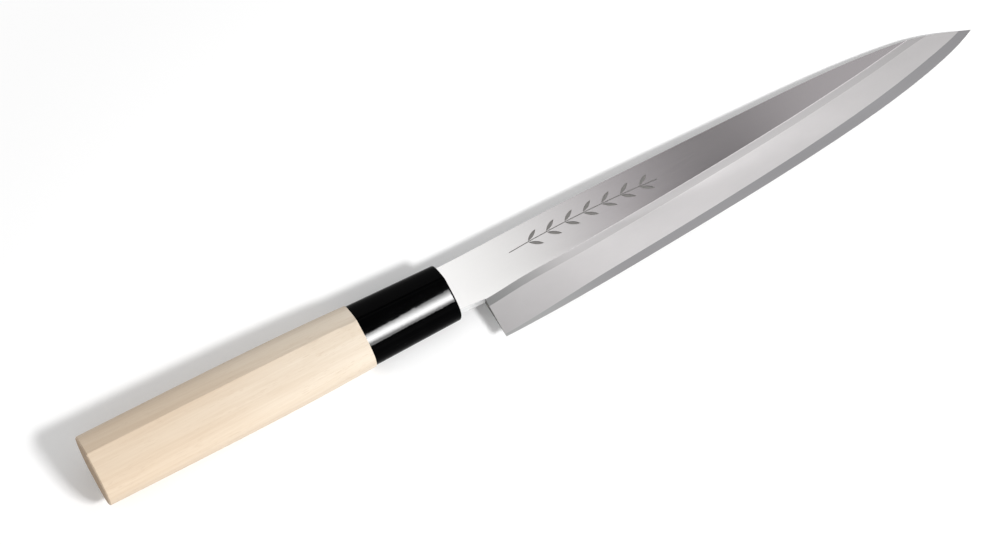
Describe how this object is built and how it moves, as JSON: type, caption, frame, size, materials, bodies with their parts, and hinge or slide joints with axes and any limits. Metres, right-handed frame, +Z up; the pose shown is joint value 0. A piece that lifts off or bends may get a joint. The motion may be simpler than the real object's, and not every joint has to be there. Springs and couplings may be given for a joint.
{
  "type": "yanagiba knife",
  "caption": "Long slicing knife ground on one side, with a hard steel flat back, a swelling pale wood handle with a soft ridge, and a glossy black ferrule.",
  "frame": {"origin": "on the table, under the middle of the knife's box, as it lies with its bevelled side up", "axes": "+X from the butt of the handle to the tip, +Y from the cutting edge to the spine, +Z up from the table"},
  "size_m": [0.3414, 0.036, 0.0226],
  "materials": {
    "soft_steel": "hairlined upper flat, fine matt bevel",
    "hard_steel": "darker, finely ground hard steel",
    "pale_wood": "unvarnished, sanded smooth",
    "black_ferrule": "polished black",
    "bedding_resin": "dull resin, hidden in the handle",
    "black_seal": "dull black bead"
  },
  "bodies": {
    "root": {"blade_body": "soft_steel", "edge_steel": "hard_steel", "handle_body": "pale_wood", "ferrule": "black_ferrule", "tang_bedding": "bedding_resin", "mouth_seal": "black_seal"}
  },
  "joints": []
}
